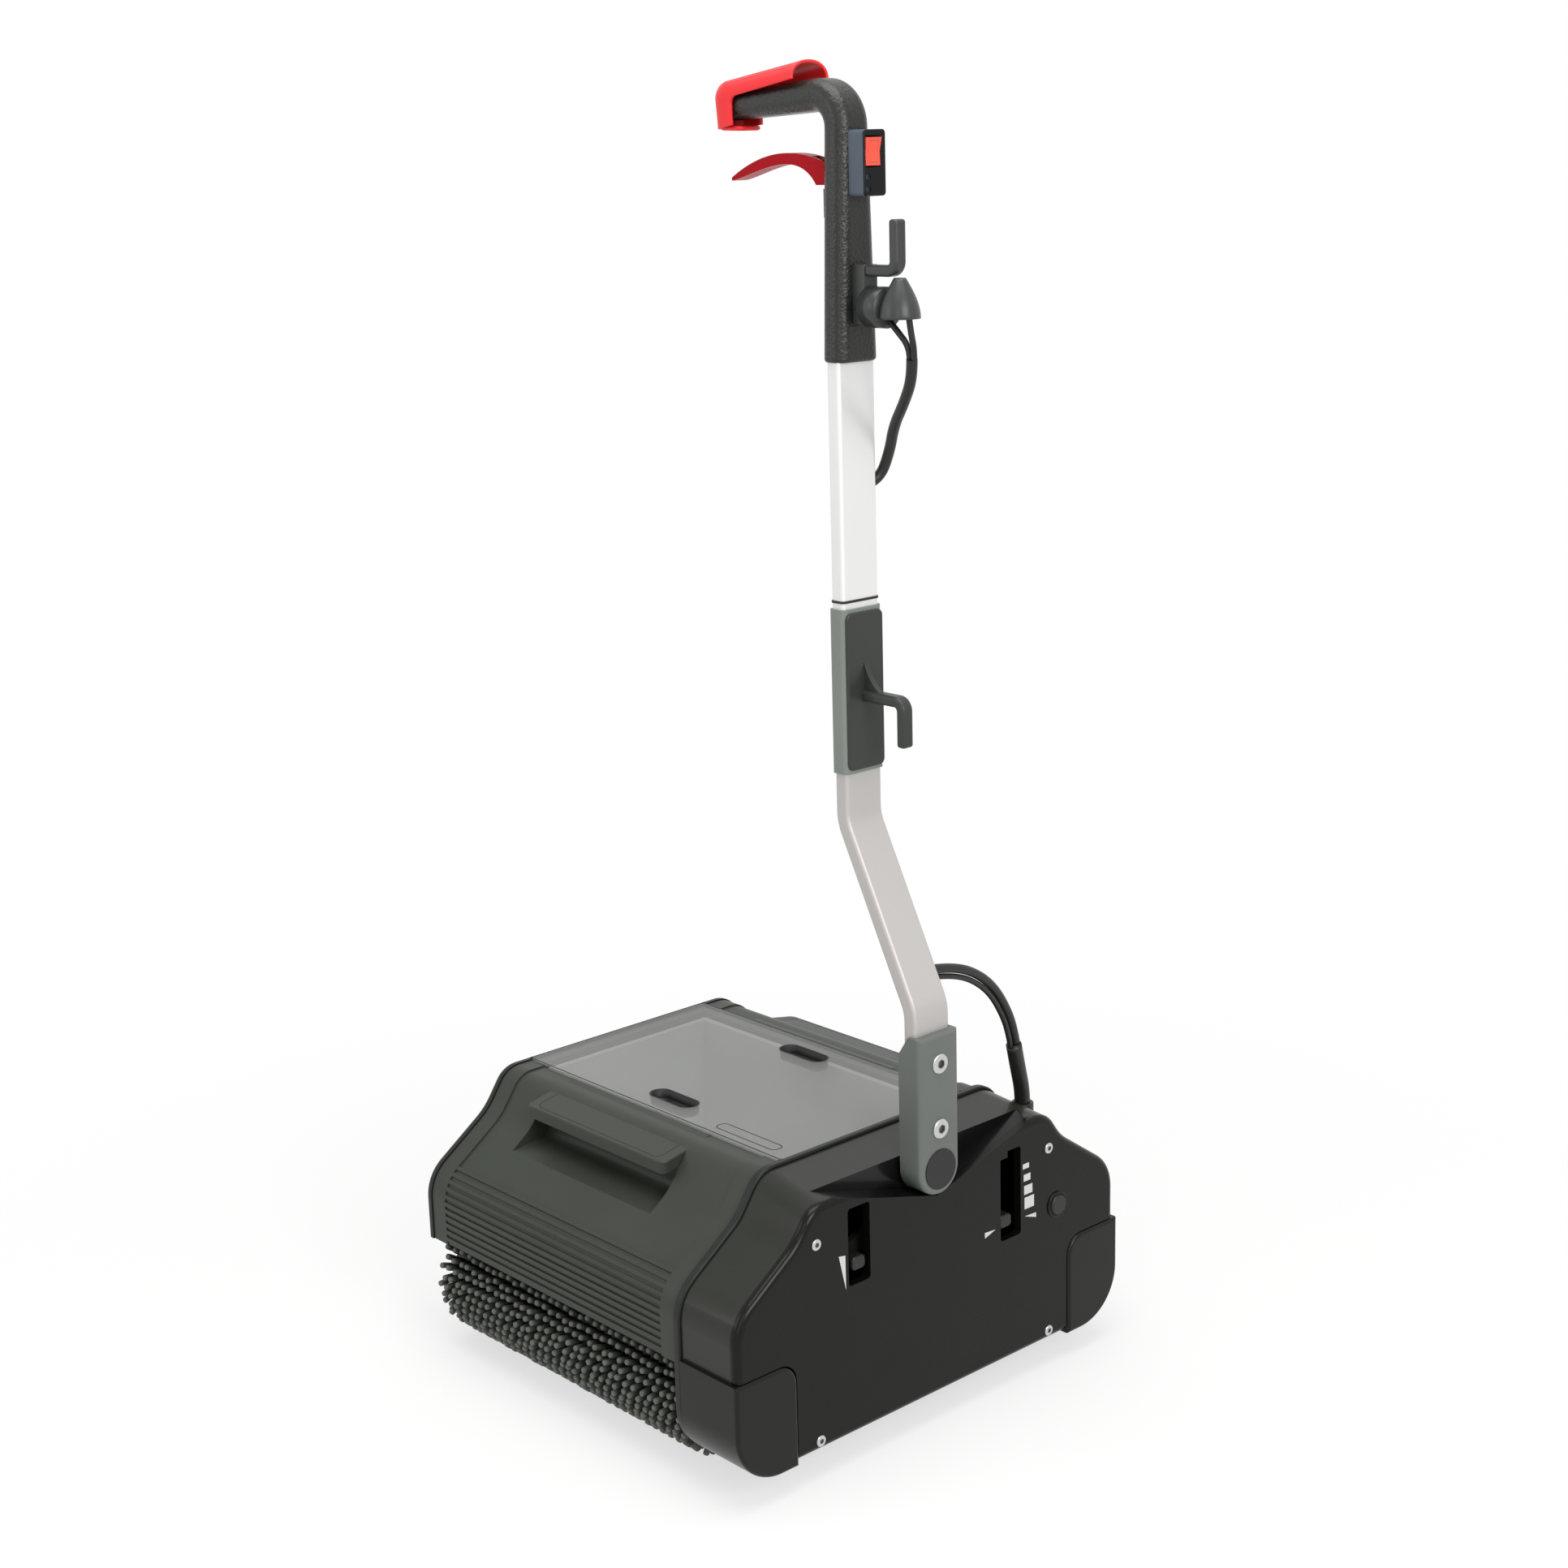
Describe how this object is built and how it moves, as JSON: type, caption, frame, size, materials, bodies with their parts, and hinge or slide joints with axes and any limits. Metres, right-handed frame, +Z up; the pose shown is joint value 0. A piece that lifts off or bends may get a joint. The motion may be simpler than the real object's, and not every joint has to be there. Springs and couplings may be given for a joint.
{
  "type": "floor scrubber",
  "caption": "Upright floor scrubber with contra-rotating cylinder brushes, lift-out waste trays, a clear tank lid, a side drive housing and a swinging cranked handle with grip controls.",
  "frame": {"origin": "on the floor under the middle of the chassis", "axes": "+Z up, -Y to the machine's front, +X towards the drive housing"},
  "size_m": [0.4313, 0.4564, 1.122],
  "materials": {
    "frame_plastic": "fine grain, matt",
    "side_plastic": "fine grain, matt",
    "shell_plastic": "fine grain, matt",
    "cover_plastic": "satin with a glossy rim",
    "bumper_plastic": "fine grain, matt",
    "steel": "satin",
    "tank_plastic": "fine grain, matt",
    "pipe_plastic": "fine grain, matt",
    "motor_metal": "satin",
    "bright_alloy": "satin",
    "belt_rubber": "satin",
    "pale_plastic": "fine grain, matt",
    "cable_rubber": "satin",
    "bristle": "matt tufts",
    "wheel_rubber": "satin",
    "lever_plastic": "fine grain, matt",
    "clear_lid": "smoky translucent, satin",
    "bracket_plastic": "fine grain, matt",
    "tube_alloy": "anodised satin",
    "grip_plastic": "fine grain, matt",
    "switch_plastic": "satin",
    "hook_plastic": "fine grain, matt",
    "red_plastic": "satin",
    "dark_red_plastic": "satin",
    "orange_red_plastic": "satin"
  },
  "bodies": {
    "chassis": {"base_frame": "frame_plastic", "left_side_plate": "side_plastic", "right_inner_plate": "side_plastic", "drive_housing": "shell_plastic", "side_cover": "cover_plastic", "front_bumper": "bumper_plastic", "rear_bumper": "bumper_plastic", "cover_screws": "steel", "solution_tank": "tank_plastic", "drip_manifold": "pipe_plastic", "dosing_valve": "pipe_plastic", "motor": "motor_metal", "gear_bridge": "bright_alloy", "front_belt": "belt_rubber", "rear_belt": "belt_rubber", "brush_bushes": "pale_plastic", "handle_pivot_shaft": "steel", "breaker_body": "pipe_plastic", "cable_grommet": "cable_rubber", "lower_leads": "cable_rubber", "lower_cable_sleeve": "cable_rubber"},
    "handle": {"pivot_bracket": "bracket_plastic", "pivot_cap": "bracket_plastic", "bracket_screws": "steel", "lower_tube": "tube_alloy", "upper_tube": "tube_alloy", "tube_sleeve": "bracket_plastic", "hook_plate": "bracket_plastic", "tube_band": "cable_rubber", "grip": "grip_plastic", "switch_box": "switch_plastic", "hook_bracket": "hook_plastic", "cable_bell": "hook_plastic", "upper_cable": "cable_rubber", "upper_leads": "cable_rubber", "lever_clevis": "grip_plastic", "lever_pins": "steel"},
    "deadman_lever": {"deadman_bar": "red_plastic"},
    "squeeze_lever": {"dosing_lever": "dark_red_plastic"},
    "rocker": {"rocker_switch": "orange_red_plastic"},
    "tank_lid": {"lid": "clear_lid"},
    "front_waste_tray": {"front_tray": "shell_plastic"},
    "rear_waste_tray": {"rear_tray": "shell_plastic"},
    "front_brush": {"front_brush_core": "frame_plastic", "front_brush_tufts": "bristle", "front_brush_pulley": "pale_plastic"},
    "rear_brush": {"rear_brush_core": "frame_plastic", "rear_brush_tufts": "bristle", "rear_brush_pulley": "pale_plastic"},
    "motor_rotor": {"motor_shaft": "steel", "motor_pulley": "pale_plastic"},
    "reversing_shaft": {"layshaft": "steel"},
    "carriage": {"wheel_carriage": "frame_plastic"},
    "front_wheelset": {"front_axle": "steel", "front_wheels": "wheel_rubber"},
    "rear_wheelset": {"rear_axle": "steel", "rear_wheels": "wheel_rubber"},
    "height_control": {"height_lever": "lever_plastic"},
    "mop_control": {"mop_lever": "lever_plastic"},
    "breaker": {"breaker_button": "lever_plastic"}
  },
  "joints": [
    {"name": "handle_swing", "type": "hinge", "parent": "chassis", "child": "handle", "pos_m": [0.205, 0, 0.232], "axis": [1, 0, 0], "range_deg": [-73, 73], "deforming": ["lower_leads", "lower_cable_sleeve"]},
    {"name": "deadman_press", "type": "hinge", "parent": "handle", "child": "deadman_lever", "pos_m": [-0.00498, 0, 1.08751], "axis": [0, 1, 0], "range_deg": [0, 6], "stiffness_Nm_per_rad": 1.5, "springref_deg": -11.46},
    {"name": "dosing_squeeze", "type": "hinge", "parent": "handle", "child": "squeeze_lever", "pos_m": [0.105, 0, 1.038], "axis": [0, 1, 0], "range_deg": [0, 12], "stiffness_Nm_per_rad": 1, "springref_deg": -11.46},
    {"name": "rocker_tilt", "type": "hinge", "parent": "handle", "child": "rocker", "pos_m": [0.153, -0.0005, 1.0515], "axis": [0, -1, 0], "range_deg": [0, 8]},
    {"name": "lid_lift", "type": "slide", "parent": "chassis", "child": "tank_lid", "axis": [0, 0, 1], "range_m": [0, 0.12]},
    {"name": "front_tray_lift", "type": "slide", "parent": "chassis", "child": "front_waste_tray", "axis": [0, 0, 1], "range_m": [0, 0.15]},
    {"name": "rear_tray_lift", "type": "slide", "parent": "chassis", "child": "rear_waste_tray", "axis": [0, 0, 1], "range_m": [0, 0.15]},
    {"name": "front_brush_spin", "type": "hinge", "parent": "chassis", "child": "front_brush", "pos_m": [0, -0.165, 0.062], "axis": [1, 0, 0], "continuous": true},
    {"name": "rear_brush_spin", "type": "hinge", "parent": "chassis", "child": "rear_brush", "pos_m": [0, 0.165, 0.062], "axis": [1, 0, 0], "continuous": true},
    {"name": "motor_spin", "type": "hinge", "parent": "chassis", "child": "motor_rotor", "pos_m": [0.15, -0.018, 0.13], "axis": [1, 0, 0], "continuous": true},
    {"name": "layshaft_spin", "type": "hinge", "parent": "chassis", "child": "reversing_shaft", "pos_m": [0.15, 0.018, 0.13], "axis": [1, 0, 0], "continuous": true},
    {"name": "carriage_drop", "type": "slide", "parent": "chassis", "child": "carriage", "axis": [0, 0, 1], "range_m": [-0.012, 0]},
    {"name": "front_wheel_roll", "type": "hinge", "parent": "carriage", "child": "front_wheelset", "pos_m": [0, -0.07, 0.02], "axis": [1, 0, 0], "continuous": true},
    {"name": "rear_wheel_roll", "type": "hinge", "parent": "carriage", "child": "rear_wheelset", "pos_m": [0, 0.07, 0.02], "axis": [1, 0, 0], "continuous": true},
    {"name": "height_lever_turn", "type": "hinge", "parent": "chassis", "child": "height_control", "pos_m": [0.16, 0.052, 0.18], "axis": [1, 0, 0], "range_deg": [0, 72]},
    {"name": "mop_lever_turn", "type": "hinge", "parent": "chassis", "child": "mop_control", "pos_m": [0.16, -0.04, 0.193], "axis": [1, 0, 0], "range_deg": [-40, 0]},
    {"name": "breaker_press", "type": "slide", "parent": "chassis", "child": "breaker", "axis": [-1, 0, 0], "range_m": [0, 0.004], "stiffness_N_per_m": 600, "springref_m": -0.002}
  ],
  "couplings": [
    {"joint": "motor_spin", "follows": "front_brush_spin", "ratio": 2.3333},
    {"joint": "layshaft_spin", "follows": "front_brush_spin", "ratio": -2.3333},
    {"joint": "rear_brush_spin", "follows": "front_brush_spin", "ratio": -1},
    {"joint": "height_lever_turn", "follows": "carriage_drop", "rad_per_m": -104.72}
  ]
}
